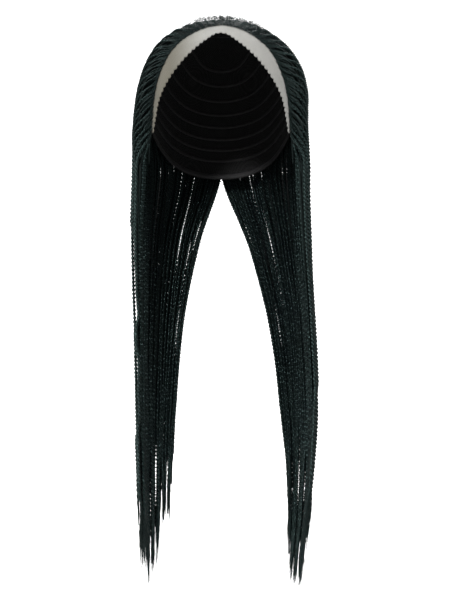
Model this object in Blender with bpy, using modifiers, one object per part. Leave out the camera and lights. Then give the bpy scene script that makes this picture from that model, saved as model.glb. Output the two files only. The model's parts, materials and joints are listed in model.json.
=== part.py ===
"""Lace-front wig of long two-strand rope twists, in its worn shape.

Metres, +Z up. The origin is where the crown of a head touches the inside of the cap, and the face
looks along -Y. Left and right are the wearer's, so left is +X.
"""

import bisect
import functools
import math
from collections import namedtuple

import bmesh
import bpy
from mathutils import Vector

# Half sizes of the head that the cap fits, which is a rounded box
HEAD_HALF_WIDTH = 0.077
HEAD_HALF_LENGTH = 0.096
HEAD_HALF_HEIGHT = 0.100
HEAD_ROUNDNESS = 2.3

# Cloth
CAP_THICKNESS = 0.0012
LACE_THICKNESS = 0.0010
SEAM_SETBACK = 0.012
SEAM_GAP = 0.0005
SCALLOP_PITCH = 0.0054
SCALLOP_DEPTH = 0.0011

# Hair: its lengths and thicknesses
HAIR_LENGTH = 0.590
EAR_LEVEL = 0.150
HAIR_CLEARANCE = 0.0009
HAIR_AT_HAIRLINE = 0.0025
HAIR_ON_CROWN = 0.0042
HAIR_AT_EARS = 0.0150
HAIR_IN_BUNCH = 0.0190
ROOT_RISE = 0.030
BUNDLE_GAP = 0.0005

# Hair: how it is combed and how its locks are cut
COMB_DOWN = 2.2
ROOT_REACH = 0.30
EAR_REACH = 0.50
SIDE_FULLNESS = 0.6
FRONT_EDGE_ANGLE = 66.0
SIDE_CROWDING = 1.35
GROOVE_SHARE = 0.24
SPLIT_SHARE = 0.80
SPLIT_WIDTH = 0.92
TIP_WIDTH = 0.22
TIP_STAGGER = 0.05
STAGGER_STEP = 0.618

# Numbers of pieces, rows and columns
BUNDLES = ("front", "side", "back")
LOCKS_IN_BUNDLE = 8
DOME_ROWS = 15
TIP_ROWS = 3
CAP_ROWS = 7
CAP_SEAM_COLUMNS = 18
CAP_EAR_COLUMNS = 12
LACE_ROWS = 3
FEWEST_SCALLOPS = 4
LINE_STEPS = 60
PATH_STEPS = 40
SMOOTH_STEPS = 12

# Directions from the middle of the head, in degrees: azimuth 0 is the face, elevation 90 the top
Way = namedtuple("Way", "azimuth elevation")
CAP_POLE = Way(180.0, 55.0)
HAIRLINE = (
    Way(57.0, -12.5),
    Way(54.0, 0.0),
    Way(52.0, 12.0),
    Way(49.0, 23.5),
    Way(45.5, 34.0),
    Way(40.0, 43.5),
    Way(30.0, 51.5),
    Way(16.5, 58.5),
    Way(8.0, 61.2),
    Way(0.0, 62.0),
)
LACE_EDGE = (
    Way(53.5, -12.5),
    Way(48.5, -2.5),
    Way(45.0, 6.5),
    Way(40.5, 14.0),
    Way(34.5, 21.5),
    Way(28.0, 29.0),
    Way(20.0, 37.5),
    Way(11.5, 45.3),
    Way(5.5, 50.2),
    Way(0.0, 51.6),
)
CAP_RIM = (
    Way(75.0, -4.0),
    Way(90.0, 1.0),
    Way(107.0, -3.0),
    Way(124.0, -14.0),
    Way(142.0, -26.0),
    Way(160.0, -32.0),
    Way(180.0, -34.0),
)

# Plan of the hanging hair at shares of its drop below the ears. Widths and gaps are shares of the
# half width at the ears, length and setback shares of the half length there, and bulk goes from
# the thickness at the ears, 0, to the thickness in the bunch, 1.
FallRow = namedtuple("FallRow", "drop right_width right_gap left_width left_gap length setback bulk")
FALL = (
    FallRow(0.00, 1.000, 0.00, 1.000, 0.000, 1.00, 0.00, 0.0),
    FallRow(0.17, 1.005, 0.26, 1.003, 0.300, 0.93, 0.01, 0.3),
    FallRow(0.36, 0.980, 0.43, 1.044, 0.550, 0.81, 0.03, 0.7),
    FallRow(0.57, 0.955, 0.52, 1.082, 0.680, 0.68, 0.05, 1.0),
    FallRow(0.72, 0.936, 0.56, 1.044, 0.745, 0.60, 0.06, 1.0),
    FallRow(0.86, 0.924, 0.57, 0.975, 0.765, 0.54, 0.07, 0.9),
    FallRow(1.00, 0.905, 0.60, 0.925, 0.775, 0.48, 0.08, 0.8),
)
# Shares of the way down to the split at which the joined locks have a row of points
FALL_ROWS = (0.175, 0.35, 0.525, 0.70, 0.86, 1.0)

# How far down the drop the tips reach, from the front edge of a side, 0, to the middle back, 1
TipRow = namedtuple("TipRow", "across right_reach left_reach")
TIPS = (
    TipRow(0.00, 0.930, 0.940),
    TipRow(0.25, 0.940, 0.955),
    TipRow(0.60, 0.985, 1.000),
    TipRow(0.80, 0.930, 0.930),
    TipRow(1.00, 0.880, 0.875),
)

HEAD_CENTRE = Vector((0.0, 0.0, -HEAD_HALF_HEIGHT))
UNDER_HAIR = max(CAP_THICKNESS, LACE_THICKNESS) + HAIR_CLEARANCE
DROP = HAIR_LENGTH - EAR_LEVEL


def mix(a, b, share):
    return a + (b - a) * share


def smooth(share):
    return share * share * (3 - 2 * share)


def catmull(points, place):
    """Value on the smooth curve through the points, where place counts whole points."""
    last = len(points) - 1
    i = min(int(place), last - 1)
    t = place - i
    p0, p1, p2, p3 = (points[min(max(i + k, 0), last)] for k in (-1, 0, 1, 2))
    return (
        p1 * 2
        + (p2 - p0) * t
        + (p0 * 2 - p1 * 5 + p2 * 4 - p3) * t**2
        + (p1 * 3 - p0 - p2 * 3 + p3) * t**3
    ) / 2


def row_at(rows, column, key, value):
    """A column of the table where its key column has this value, smoothly between the rows."""
    keys = [getattr(row, key) for row in rows]
    i = min(max(bisect.bisect_right(keys, value) - 1, 0), len(keys) - 2)
    part = min(max((value - keys[i]) / (keys[i + 1] - keys[i]), 0.0), 1.0)
    return catmull([getattr(row, column) for row in rows], i + part)


def lengths_along(points):
    """Distance from the first point to each of the points, along them."""
    along = [0.0]
    for a, b in zip(points, points[1:]):
        along.append(along[-1] + (b - a).length)
    return along


def at_share(values, along, share):
    """The value at a share of the whole of the distances."""
    wanted = along[-1] * share
    k = min(max(bisect.bisect_right(along, wanted) - 1, 0), len(along) - 2)
    return values[k].lerp(values[k + 1], (wanted - along[k]) / (along[k + 1] - along[k]))


def direction(way):
    """Unit vector from the middle of the head, on its left."""
    turn, rise = math.radians(way.azimuth), math.radians(way.elevation)
    level = math.cos(rise)
    return Vector((math.sin(turn) * level, -math.cos(turn) * level, math.sin(rise)))


def mirrored(towards):
    return Vector((-towards.x, towards.y, towards.z))


def rounded_size(x, y, z=0.0):
    """How far out a point lies from a rounded box whose half sizes are 1."""
    power = HEAD_ROUNDNESS
    return (abs(x) ** power + abs(y) ** power + abs(z) ** power) ** (1 / power)


def head_surface(towards, offset=0.0):
    """Point of the head, grown by the offset, in a direction from its middle."""
    size = rounded_size(
        towards.x / (HEAD_HALF_WIDTH + offset),
        towards.y / (HEAD_HALF_LENGTH + offset),
        towards.z / (HEAD_HALF_HEIGHT + offset),
    )
    return HEAD_CENTRE + towards / size


def hair_surface(point, offset):
    """The point moved onto the grown head, which here goes straight down below its widest level."""
    if point.z >= HEAD_CENTRE.z:
        return head_surface(point - HEAD_CENTRE, offset)
    size = rounded_size(point.x / (HEAD_HALF_WIDTH + offset), point.y / (HEAD_HALF_LENGTH + offset))
    return Vector((point.x / size, point.y / size, point.z))


def evenly(directions, count):
    """Directions at even steps over the head along the smooth curve through these."""
    steps = (len(directions) - 1) * SMOOTH_STEPS
    fine = [catmull(directions, k / SMOOTH_STEPS).normalized() for k in range(steps + 1)]
    along = lengths_along([head_surface(towards) for towards in fine])
    return [at_share(fine, along, n / count).normalized() for n in range(count + 1)]


def front_line(ways):
    """Even directions from the left temple to the top of a line that goes on to the right temple."""
    half = [direction(way) for way in ways]
    whole = evenly(half + [mirrored(towards) for towards in half[-2::-1]], 2 * LINE_STEPS)
    return whole[: LINE_STEPS + 1]


HAIRLINE_FINE = front_line(HAIRLINE)
LACE_EDGE_FINE = front_line(LACE_EDGE)


def on_line(fine, share):
    """Direction on a front line, from the temple, 0, to the top, 1."""
    return catmull(fine, share * LINE_STEPS).normalized()


def shifted(start, target, distance):
    """The start direction, moved over the head by a distance towards the target, or away if minus."""
    step = (target - start).normalized() * distance
    return (head_surface(start) + step - HEAD_CENTRE).normalized()


def seam_direction(share, setback):
    """Direction on the seam of lace and cap, which lies behind the hairline by the setback."""
    return shifted(on_line(HAIRLINE_FINE, share), on_line(LACE_EDGE_FINE, share), -setback)


def material(name, colour, roughness):
    made = bpy.data.materials.new(name)
    made.use_nodes = True
    shader = made.node_tree.nodes["Principled BSDF"]
    shader.inputs["Base Color"].default_value = (*colour, 1.0)
    shader.inputs["Roughness"].default_value = roughness
    shader.inputs["Metallic"].default_value = 0.0
    return made


def new_object(name, work, finish, collection):
    """An object from the bmesh, which is used up."""
    mesh = bpy.data.meshes.new(name)
    work.to_mesh(mesh)
    work.free()
    mesh.materials.append(finish)
    mesh.shade_smooth()
    mesh.set_sharp_from_angle(angle=math.radians(40))
    made = bpy.data.objects.new(name, mesh)
    collection.objects.link(made)
    return made


def add_rows(work, rows):
    """Quads between rows of vertices, each row as long as the next."""
    for above, below in zip(rows, rows[1:]):
        for k in range(len(above) - 1):
            work.faces.new((above[k], above[k + 1], below[k + 1], below[k]))


def mirror_and_thicken(half, thickness):
    """Makes the half sheet whole across X = 0 and gives it its wall, outwards."""
    whole = half.modifiers.new("other side", "MIRROR")
    whole.merge_threshold = 0.0001
    wall = half.modifiers.new("wall", "SOLIDIFY")
    wall.thickness = thickness
    wall.offset = 1.0
    wall.use_even_offset = True


def build_cap(finish, collection):
    """Stretch cap from the lace seam back over the ears to the nape."""
    seam = [seam_direction(k / CAP_SEAM_COLUMNS, SEAM_SETBACK) for k in range(CAP_SEAM_COLUMNS + 1)]
    over_ear = evenly([seam[0], *(direction(way) for way in CAP_RIM)], CAP_EAR_COLUMNS)
    rim = over_ear[:0:-1] + seam
    pole = direction(CAP_POLE)
    work = bmesh.new()
    top = work.verts.new(head_surface(pole))
    rows = []
    for row in range(1, CAP_ROWS + 1):
        share = row / CAP_ROWS
        rows.append([work.verts.new(head_surface(pole.slerp(edge, share))) for edge in rim])
    for a, b in zip(rows[0], rows[0][1:]):
        work.faces.new((top, b, a))
    add_rows(work, rows)
    mirror_and_thicken(new_object("stretch_cap", work, finish, collection), CAP_THICKNESS)


def build_lace(finish, collection):
    """Lace band from its scalloped edge, past the hairline, to the seam with the cap."""
    edge_length = lengths_along([head_surface(towards) for towards in LACE_EDGE_FINE])[-1]
    scallops = max(FEWEST_SCALLOPS, round(edge_length / SCALLOP_PITCH))
    columns = 2 * scallops
    shares = [c / columns for c in range(columns + 1)]
    seam = [seam_direction(share, SEAM_SETBACK - SEAM_GAP) for share in shares]
    edge = [on_line(LACE_EDGE_FINE, share) for share in shares]
    for c in range(1, columns, 2):
        edge[c] = shifted(edge[c], on_line(HAIRLINE_FINE, shares[c]), SCALLOP_DEPTH)
    work = bmesh.new()
    rows = []
    for row in range(LACE_ROWS + 1):
        ways = [a.slerp(b, row / LACE_ROWS) for a, b in zip(seam, edge)]
        rows.append([work.verts.new(head_surface(way)) for way in ways])
    add_rows(work, rows)
    mirror_and_thicken(new_object("lace_front", work, finish, collection), LACE_THICKNESS)


def side_name(side):
    return "left" if side > 0 else "right"


def tip_reach(side, across):
    return row_at(TIPS, side_name(side) + "_reach", "across", across)


def fall_point(side, across, drop, depth):
    """Point of the hanging hair at a share of its drop, from its inside, 0, to its outside, 1."""
    name = side_name(side)
    width, gap, length, setback, bulk = (
        row_at(FALL, column, "drop", drop)
        for column in (name + "_width", name + "_gap", "length", "setback", "bulk")
    )
    half_width = HEAD_HALF_WIDTH + UNDER_HAIR + HAIR_AT_EARS
    half_length = HEAD_HALF_LENGTH + UNDER_HAIR + HAIR_AT_EARS
    inset = (1 - depth) * mix(HAIR_AT_EARS, HAIR_IN_BUNCH, bulk)
    angle = math.radians(mix(FRONT_EDGE_ANGLE, 180.0, max(across, 0.0) ** SIDE_CROWDING))
    size = rounded_size(math.sin(angle), math.cos(angle))
    reach_out = half_width * (width - gap) - inset * min(1.0, width - gap)
    return Vector((
        side * (half_width * gap + reach_out * math.sin(angle) / size),
        half_length * setback - (half_length * length - inset) * math.cos(angle) / size,
        -EAR_LEVEL - DROP * drop,
    ))


@functools.lru_cache(maxsize=None)
def dome_path(side, across):
    """Way of the hair over the cap, from the hairline to the level of the ears, with distances."""
    root = on_line(HAIRLINE_FINE, across)
    if side < 0:
        root = mirrored(root)
    start = hair_surface(head_surface(root), UNDER_HAIR)
    end = fall_point(side, across, 0.0, 0.0)
    out = Vector((
        start.x / HEAD_HALF_WIDTH**2,
        start.y / HEAD_HALF_LENGTH**2,
        (start.z - HEAD_CENTRE.z) / HEAD_HALF_HEIGHT**2,
    )).normalized()
    comb = Vector((0.0, 1.0, -COMB_DOWN * (1 - across)))
    along_head = (comb - out * comb.dot(out)).normalized()
    apart = (end - start).length
    near = start + along_head * apart * ROOT_REACH
    far = end + Vector((0.0, 0.0, apart * EAR_REACH))
    points = []
    for k in range(PATH_STEPS + 1):
        share = k / PATH_STEPS
        left = 1 - share
        from_root = start * left**3 + near * (3 * left**2 * share)
        to_ear = far * (3 * left * share**2) + end * share**3
        points.append(hair_surface(from_root + to_ear, UNDER_HAIR))
    return points, lengths_along(points)


def dome_point(side, across, share, depth):
    """Point of the hair on the cap, from the hairline, 0, to the level of the ears, 1."""
    points, along = dome_path(side, across)
    point = at_share(points, along, share)
    below_top = min(max(-point.z / EAR_LEVEL, 0.0), 1.0)
    full = mix(HAIR_ON_CROWN, HAIR_AT_EARS, below_top**SIDE_FULLNESS)
    risen = smooth(min(share * along[-1] / ROOT_RISE, 1.0))
    return hair_surface(point, UNDER_HAIR + mix(HAIR_AT_HAIRLINE, full, risen) * depth)


def hair_point(side, across, place, depth):
    """Point of the hair where place is -1 at the hairline, 0 at the ears and 1 at the full drop."""
    if place <= 0:
        return dome_point(side, across, 1 + place, depth)
    return fall_point(side, across, place, depth)


def bundle_edge_point(side, across, place, depth, inwards):
    """Point of a bundle's side wall, which is drawn in by half the gap between bundles."""
    here = hair_point(side, across, place, depth)
    inside = hair_point(side, across + inwards / LINE_STEPS, place, depth)
    return here + (inside - here).normalized() * (BUNDLE_GAP / 2)


LockRow = namedtuple("LockRow", "grooves crests inner")


def add_lock_row(work, side, spread, middle, place):
    """Vertices across a bundle: its grooves and crests outside, and its smooth inside."""
    last = len(spread) - 1

    def reached(across):
        return place * tip_reach(side, across) if place > 0 else place

    def wall(k, depth):
        if k in (0, last):
            inwards = 1 if k == 0 else -1
            return bundle_edge_point(side, spread[k], reached(spread[k]), depth, inwards)
        return hair_point(side, spread[k], reached(spread[k]), depth)

    return LockRow(
        [work.verts.new(wall(k, 1 - GROOVE_SHARE)) for k in range(last + 1)],
        [work.verts.new(hair_point(side, a, reached(a), 1.0)) for a in middle],
        [work.verts.new(wall(k, 0.0)) for k in range(last + 1)],
    )


def lock_ring(row, k):
    """The vertices round one lock of a row."""
    return [row.grooves[k], row.crests[k], row.grooves[k + 1], row.inner[k + 1], row.inner[k]]


def join_lock_rows(work, above, below):
    last = len(above.inner) - 1
    for k in range(last):
        a, b = lock_ring(above, k), lock_ring(below, k)
        for c in (0, 1, 3):
            work.faces.new((a[c], a[c + 1], b[c + 1], b[c]))
    work.faces.new((above.inner[0], above.grooves[0], below.grooves[0], below.inner[0]))
    work.faces.new((above.grooves[last], above.inner[last], below.inner[last], below.grooves[last]))


def add_tip(work, side, ring, corners, centre, reach):
    """One lock's own tip, from its ring at the split to a small flat end."""
    for row in range(1, TIP_ROWS + 1):
        share = row / TIP_ROWS
        width = mix(SPLIT_WIDTH, TIP_WIDTH, share)
        place = reach * mix(SPLIT_SHARE, 1.0, share)
        after = [
            work.verts.new(hair_point(side, mix(centre, across, width), place, mix(0.5, depth, width)))
            for across, depth in corners
        ]
        for c in range(len(ring)):
            d = (c + 1) % len(ring)
            work.faces.new((ring[c], ring[d], after[d], after[c]))
        ring = after
    work.faces.new(ring)


def build_bundle(name, side, first, last, finish, collection):
    """Locks joined side by side from the hairline down to the split, each with a tip of its own."""
    count = LOCKS_IN_BUNDLE
    spread = [mix(first, last, k / count) for k in range(count + 1)]
    middle = [mix(a, b, 0.5) for a, b in zip(spread, spread[1:])]
    places = [k / DOME_ROWS - 1 for k in range(DOME_ROWS + 1)]
    places += [SPLIT_SHARE * share for share in FALL_ROWS]
    work = bmesh.new()
    rows = [add_lock_row(work, side, spread, middle, place) for place in places]
    for above, below in zip(rows, rows[1:]):
        join_lock_rows(work, above, below)
    groove = 1 - GROOVE_SHARE
    for k in range(count):
        work.faces.new(lock_ring(rows[0], k)[::-1])
        a, b = spread[k], spread[k + 1]
        corners = ((a, groove), (middle[k], 1.0), (b, groove), (b, 0.0), (a, 0.0))
        reach = tip_reach(side, middle[k]) - TIP_STAGGER * (STAGGER_STEP * k % 1)
        add_tip(work, side, lock_ring(rows[-1], k), corners, middle[k], reach)
    bmesh.ops.recalc_face_normals(work, faces=work.faces)
    new_object(name, work, finish, collection)


def main():
    for obj in list(bpy.data.objects):
        bpy.data.objects.remove(obj)
    wig = bpy.data.collections.new("braid_wig")
    bpy.context.scene.collection.children.link(wig)
    net = material("cap_net", (0.022, 0.022, 0.022), 0.85)
    lace = material("front_lace", (0.62, 0.56, 0.48), 0.80)
    hair = material("twisted_hair", (0.018, 0.020, 0.020), 0.50)
    build_cap(net, wig)
    build_lace(lace, wig)
    for side in (-1, 1):
        for k, bundle in enumerate(BUNDLES):
            first, last = k / len(BUNDLES), (k + 1) / len(BUNDLES)
            build_bundle(f"{side_name(side)}_{bundle}_twists", side, first, last, hair, wig)


main()
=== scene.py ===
import bisect
import functools
import json
import math
import random

import bmesh
import bpy
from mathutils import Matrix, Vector, noise

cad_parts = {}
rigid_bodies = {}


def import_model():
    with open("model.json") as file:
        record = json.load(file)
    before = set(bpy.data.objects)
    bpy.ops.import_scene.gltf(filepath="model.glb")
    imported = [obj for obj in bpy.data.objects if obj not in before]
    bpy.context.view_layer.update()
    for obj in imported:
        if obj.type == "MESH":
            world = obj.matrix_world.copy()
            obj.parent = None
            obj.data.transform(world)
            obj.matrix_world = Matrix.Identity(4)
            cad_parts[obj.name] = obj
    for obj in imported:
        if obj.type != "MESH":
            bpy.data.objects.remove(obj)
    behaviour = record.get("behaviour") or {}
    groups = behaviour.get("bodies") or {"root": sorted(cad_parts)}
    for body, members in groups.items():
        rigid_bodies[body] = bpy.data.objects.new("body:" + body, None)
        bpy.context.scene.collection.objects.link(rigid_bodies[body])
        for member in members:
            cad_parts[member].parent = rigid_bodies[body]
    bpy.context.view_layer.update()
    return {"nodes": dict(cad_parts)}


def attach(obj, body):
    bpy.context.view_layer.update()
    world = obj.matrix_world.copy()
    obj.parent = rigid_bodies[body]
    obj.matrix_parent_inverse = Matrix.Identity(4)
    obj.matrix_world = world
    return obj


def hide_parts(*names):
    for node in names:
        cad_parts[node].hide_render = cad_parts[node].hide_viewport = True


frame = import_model()
collection = bpy.context.scene.collection
dice = random.Random(2411)
noise.seed_set(2411)
print("frame loaded, with", len(frame["nodes"]), "solids")

tiny = 1e-6

# The head that the cap fits, a rounded box given by its half sizes
headForm = {
    "halfWidth": 0.077,
    "halfLength": 0.096,
    "halfHeight": 0.100,
    "roundness": 2.3,
}

# How the hair lies and hangs, as in the model's own source
hairForm = {
    "length": 0.590,
    "earLevel": 0.150,
    "underHair": 0.0021,
    "onCrown": 0.0042,
    "atEars": 0.0150,
    "inBunch": 0.0190,
    "combDown": 2.2,
    "rootReach": 0.30,
    "earReach": 0.50,
    "sideFullness": 0.6,
    "frontEdgeAngle": 66.0,
    "sideCrowding": 1.35,
    "pathSteps": 40,
}

# Directions from the middle of the head: azimuth from the face, elevation, in degrees
hairline = [
    (57.0, -12.5), (54.0, 0.0), (52.0, 12.0), (49.0, 23.5), (45.5, 34.0),
    (40.0, 43.5), (30.0, 51.5), (16.5, 58.5), (8.0, 61.2), (0.0, 62.0),
]
laceEdge = [
    (53.5, -12.5), (48.5, -2.5), (45.0, 6.5), (40.5, 14.0), (34.5, 21.5),
    (28.0, 29.0), (20.0, 37.5), (11.5, 45.3), (5.5, 50.2), (0.0, 51.6),
]
capRim = [
    (75.0, -4.0), (90.0, 1.0), (107.0, -3.0), (124.0, -14.0),
    (142.0, -26.0), (160.0, -32.0), (180.0, -34.0),
]
capPole = (180.0, 55.0)

# Hanging hair at shares of its drop, with widths and gaps as shares of the bunch at the ears
fallColumns = ("drop", "rightWidth", "rightGap", "leftWidth", "leftGap", "length", "setback", "bulk")
fallRows = [
    (0.00, 1.000, 0.00, 1.000, 0.000, 1.00, 0.00, 0.0),
    (0.17, 1.005, 0.26, 1.003, 0.300, 0.93, 0.01, 0.3),
    (0.36, 0.980, 0.43, 1.044, 0.550, 0.81, 0.03, 0.7),
    (0.57, 0.955, 0.52, 1.082, 0.680, 0.68, 0.05, 1.0),
    (0.72, 0.936, 0.56, 1.044, 0.745, 0.60, 0.06, 1.0),
    (0.86, 0.924, 0.57, 0.975, 0.755, 0.54, 0.07, 0.9),
    (1.00, 0.905, 0.60, 0.925, 0.705, 0.48, 0.08, 0.8),
]
# How far down the tips reach, at shares of the way across a side
tipColumns = ("across", "right", "left")
tipRows = [
    (0.00, 0.930, 0.940),
    (0.25, 0.940, 0.955),
    (0.60, 0.985, 1.000),
    (0.80, 0.930, 0.970),
    (1.00, 0.880, 0.900),
]

sideNames = {1: "left", -1: "right"}
headCentre = Vector((0.0, 0.0, -headForm["halfHeight"]))
fallDrop = hairForm["length"] - hairForm["earLevel"]
bunchWidth = headForm["halfWidth"] + hairForm["underHair"] + hairForm["atEars"]
bunchLength = headForm["halfLength"] + hairForm["underHair"] + hairForm["atEars"]
lineSteps = 60
finePerWay = 12
pathSlices = 240


def mix(a, b, share):
    return a + (b - a) * share


def clamp(value, low=0.0, high=1.0):
    return min(max(value, low), high)


def smooth(share):
    share = clamp(share)
    return share * share * (3 - 2 * share)


def catmull(points, place):
    last = len(points) - 1
    i = min(int(place), last - 1)
    t = place - i
    p0, p1, p2, p3 = (points[min(max(i + k, 0), last)] for k in (-1, 0, 1, 2))
    return (
        p1 * 2
        + (p2 - p0) * t
        + (p0 * 2 - p1 * 5 + p2 * 4 - p3) * t**2
        + (p1 * 3 - p0 - p2 * 3 + p3) * t**3
    ) / 2


def rowValue(rows, column, value):
    keys = [row[0] for row in rows]
    i = min(max(bisect.bisect_right(keys, value) - 1, 0), len(keys) - 2)
    part = clamp((value - keys[i]) / (keys[i + 1] - keys[i]))
    return catmull([row[column] for row in rows], i + part)


def fallValue(name, drop):
    return rowValue(fallRows, fallColumns.index(name), drop)


def waveAt(fineness, *values):
    return noise.noise(Vector([each * value for each, value in zip(fineness, values)]))


def lengthsAlong(points):
    along = [0.0]
    for a, b in zip(points, points[1:]):
        along.append(along[-1] + (b - a).length)
    return along


def atShare(values, along, share):
    wanted = along[-1] * share
    k = min(max(bisect.bisect_right(along, wanted) - 1, 0), len(along) - 2)
    return values[k].lerp(values[k + 1], (wanted - along[k]) / (along[k + 1] - along[k]))


def direction(azimuth, elevation):
    turn, rise = math.radians(azimuth), math.radians(elevation)
    level = math.cos(rise)
    return Vector((math.sin(turn) * level, -math.cos(turn) * level, math.sin(rise)))


def mirrored(towards):
    return Vector((-towards.x, towards.y, towards.z))


def roundedSize(x, y, z=0.0):
    power = headForm["roundness"]
    return (abs(x) ** power + abs(y) ** power + abs(z) ** power) ** (1 / power)


def headSurface(towards, offset=0.0):
    size = roundedSize(
        towards.x / (headForm["halfWidth"] + offset),
        towards.y / (headForm["halfLength"] + offset),
        towards.z / (headForm["halfHeight"] + offset),
    )
    return headCentre + towards / size


# The grown head, which goes straight down below its widest level
def hairSurface(point, offset):
    if point.z >= headCentre.z:
        return headSurface(point - headCentre, offset)
    width, length = headForm["halfWidth"] + offset, headForm["halfLength"] + offset
    size = roundedSize(point.x / width, point.y / length)
    return Vector((point.x / size, point.y / size, point.z))


def evenly(directions, count):
    steps = (len(directions) - 1) * finePerWay
    fine = [catmull(directions, k / finePerWay).normalized() for k in range(steps + 1)]
    along = lengthsAlong([headSurface(towards) for towards in fine])
    return [atShare(fine, along, n / count).normalized() for n in range(count + 1)]


def frontLine(ways):
    half = [direction(*way) for way in ways]
    whole = evenly(half + [mirrored(towards) for towards in half[-2::-1]], 2 * lineSteps)
    return whole[: lineSteps + 1]


hairlineFine = frontLine(hairline)
laceEdgeFine = frontLine(laceEdge)


def onLine(fine, share):
    return catmull(fine, share * lineSteps).normalized()


def shifted(start, target, distance):
    step = (target - start).normalized() * distance
    return (headSurface(start) + step - headCentre).normalized()


def tipReach(side, across):
    return rowValue(tipRows, tipColumns.index(sideNames[side]), across)


# How thick the hair is at this height of the head, or at this share of the drop
def roomOnHead(level):
    below = clamp(-level / hairForm["earLevel"])
    return mix(hairForm["onCrown"], hairForm["atEars"], below ** hairForm["sideFullness"])


def roomInFall(drop):
    return mix(hairForm["atEars"], hairForm["inBunch"], fallValue("bulk", drop))


def fallPoint(side, across, drop, height):
    width, gap = (fallValue(sideNames[side] + part, drop) for part in ("Width", "Gap"))
    inset = roomInFall(drop) - height
    turned = max(across, 0.0) ** hairForm["sideCrowding"]
    angle = math.radians(mix(hairForm["frontEdgeAngle"], 180.0, turned))
    size = roundedSize(math.sin(angle), math.cos(angle))
    reachOut = bunchWidth * (width - gap) - inset * min(1.0, width - gap)
    reachBack = bunchLength * fallValue("length", drop) - inset
    return Vector((
        side * (bunchWidth * gap + reachOut * math.sin(angle) / size),
        bunchLength * fallValue("setback", drop) - reachBack * math.cos(angle) / size,
        -hairForm["earLevel"] - fallDrop * drop,
    ))


@functools.lru_cache(maxsize=None)
def domePath(side, across):
    root = onLine(hairlineFine, across)
    if side < 0:
        root = mirrored(root)
    start = hairSurface(headSurface(root), hairForm["underHair"])
    end = fallPoint(side, across, 0.0, 0.0)
    out = Vector((
        start.x / headForm["halfWidth"] ** 2,
        start.y / headForm["halfLength"] ** 2,
        (start.z - headCentre.z) / headForm["halfHeight"] ** 2,
    )).normalized()
    comb = Vector((0.0, 1.0, -hairForm["combDown"] * (1 - across)))
    alongHead = (comb - out * comb.dot(out)).normalized()
    apart = (end - start).length
    near = start + alongHead * apart * hairForm["rootReach"]
    far = end + Vector((0.0, 0.0, apart * hairForm["earReach"]))
    points = []
    for k in range(hairForm["pathSteps"] + 1):
        share = k / hairForm["pathSteps"]
        left = 1 - share
        fromRoot = start * left**3 + near * (3 * left**2 * share)
        toEar = far * (3 * left * share**2) + end * share**3
        points.append(hairSurface(fromRoot + toEar, hairForm["underHair"]))
    return points, lengthsAlong(points)


# The path over the head that is nearest to this share of the way across a side
def nearPath(side, across):
    return domePath(side, round(across * pathSlices) / pathSlices)


# Node trees and materials
def addNode(tree, kind, wires=None, **settings):
    made = tree.nodes.new(kind)
    for key, value in settings.items():
        setattr(made, key, value)
    for key, value in (wires or {}).items():
        if isinstance(value, bpy.types.NodeSocket):
            tree.links.new(value, made.inputs[key])
        else:
            made.inputs[key].default_value = value
    return made


# More than two values are taken together one after the other
def addMath(tree, operation, *values):
    if len(values) > 2:
        values = addMath(tree, operation, *values[:-1]), values[-1]
    return addNode(tree, "ShaderNodeMath", dict(enumerate(values)), operation=operation).outputs[0]


def remap(tree, value, source, target, **settings):
    ends = {"From Min": source[0], "From Max": source[1], "To Min": target[0], "To Max": target[1]}
    wires = {"Value": value, **ends}
    return addNode(tree, "ShaderNodeMapRange", wires, **settings).outputs["Result"]


def remapSoftly(tree, value, source, target):
    return remap(tree, value, source, target, interpolation_type="SMOOTHSTEP")


def attributeOf(tree, name, output="Fac"):
    return addNode(tree, "ShaderNodeAttribute", attribute_name=name).outputs[output]


def addNoise(tree, place, scale, detail=2.0, roughness=0.5):
    wires = {"Vector": place, "Scale": scale, "Detail": detail, "Roughness": roughness}
    return addNode(tree, "ShaderNodeTexNoise", wires).outputs["Fac"]


def addRamp(tree, value, dark, light, places=(0.0, 1.0)):
    made = addNode(tree, "ShaderNodeValToRGB", {"Fac": value})
    for element, place, colour in zip(made.color_ramp.elements, places, (dark, light)):
        element.position, element.color = place, (*colour, 1)
    return made.outputs["Color"]


def newMaterial(name, settings):
    made = bpy.data.materials.new(name)
    made.use_nodes = True
    shader = made.node_tree.nodes["Principled BSDF"]
    for key, value in settings.items():
        shader.inputs[key].default_value = value
    return made, made.node_tree, shader


def wireShader(tree, shader, paint, rough=None, height=None, bump=(0.5, 0.0004)):
    tree.links.new(paint, shader.inputs["Base Color"])
    if rough:
        tree.links.new(rough, shader.inputs["Roughness"])
    if height:
        wires = {"Strength": bump[0], "Distance": bump[1], "Height": height}
        tree.links.new(addNode(tree, "ShaderNodeBump", wires).outputs["Normal"], shader.inputs["Normal"])


# A tree that turns guide lines into hair, with an input for each size of the hair
def newHairTree(name, inputs):
    tree = bpy.data.node_groups.new(name, "GeometryNodeTree")
    tree.interface.new_socket(name="Geometry", in_out="OUTPUT", socket_type="NodeSocketGeometry")
    for label, kind, _ in (("Guides", "Geometry", None), *inputs, ("Hair", "Material", None)):
        tree.interface.new_socket(name=label, in_out="INPUT", socket_type="NodeSocket" + kind)
    return tree, tree.nodes.new("NodeGroupInput").outputs


def smoothGuides(tree, sizes, spacing):
    lines = addNode(tree, "GeometryNodeMeshToCurve", {"Mesh": sizes["Guides"]}).outputs["Curve"]
    soft = addNode(tree, "GeometryNodeCurveSplineType", {"Curve": lines}, spline_type="CATMULL_ROM")
    wires = {"Curve": soft.outputs[0], "Length": spacing}
    return addNode(tree, "GeometryNodeResampleCurve", wires, mode="LENGTH").outputs["Curve"]


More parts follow.
